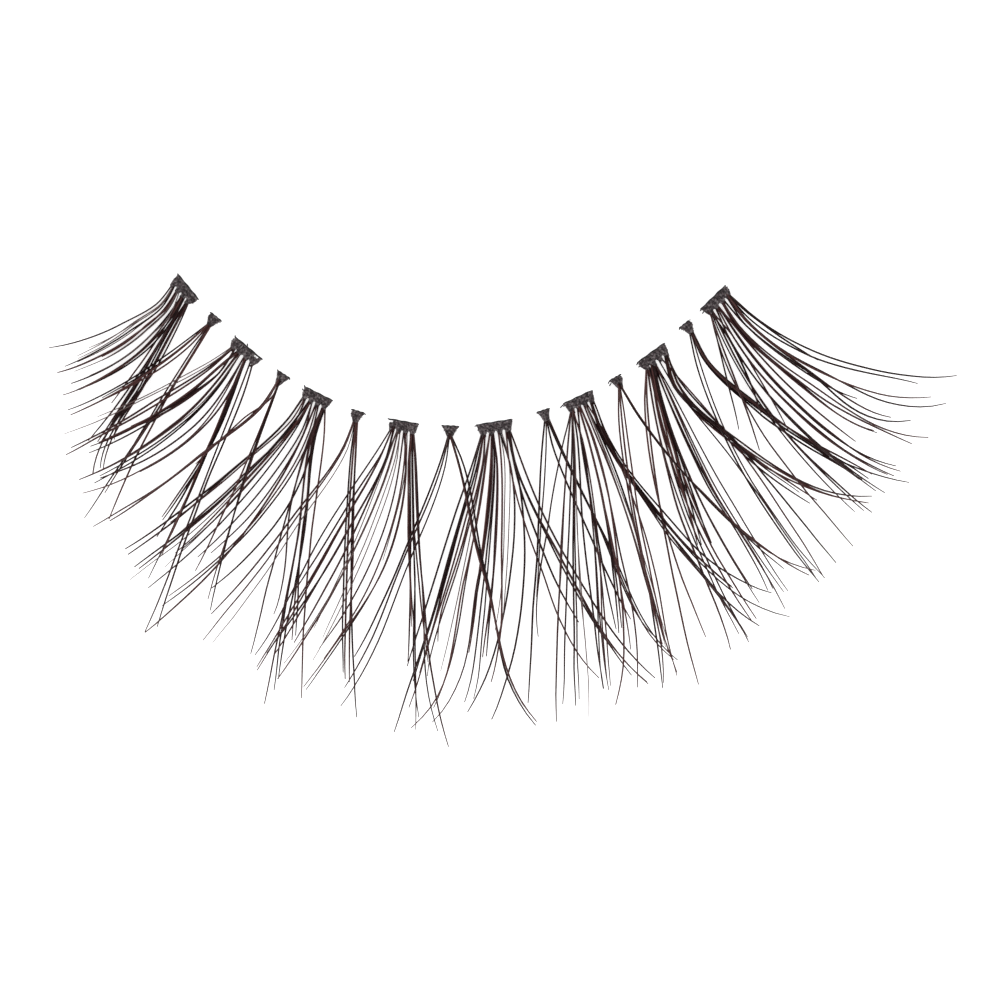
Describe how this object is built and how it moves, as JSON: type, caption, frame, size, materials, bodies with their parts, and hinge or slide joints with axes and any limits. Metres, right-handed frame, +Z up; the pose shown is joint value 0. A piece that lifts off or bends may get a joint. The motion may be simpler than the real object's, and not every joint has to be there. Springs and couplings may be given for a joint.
{
  "type": "false eyelash strip",
  "caption": "Curved strip of false lashes: dark tapering hair in wide and narrow knotted tufts along a thin clear band, fanning out and curling up.",
  "frame": {"origin": "under the middle of the strip's box, on the surface that its band and knots lie on", "axes": "+X along the strip, +Y towards the hollow side of the band, away from the hair, +Z up from the surface that it lies on, the way the hair curls"},
  "size_m": [0.0452, 0.0234, 0.0063],
  "materials": {
    "hair": "dark brown-black synthetic hair with a soft sheen",
    "band": "clear nylon thread"
  },
  "bodies": {
    "root": {"band": "band", "wide_tuft_1": "hair", "wide_tuft_2": "hair", "wide_tuft_3": "hair", "wide_tuft_4": "hair", "wide_tuft_5": "hair", "wide_tuft_6": "hair", "wide_tuft_7": "hair", "wide_tuft_8": "hair", "narrow_tuft_1": "hair", "narrow_tuft_2": "hair", "narrow_tuft_3": "hair", "narrow_tuft_4": "hair", "narrow_tuft_5": "hair", "narrow_tuft_6": "hair", "narrow_tuft_7": "hair"}
  },
  "joints": []
}
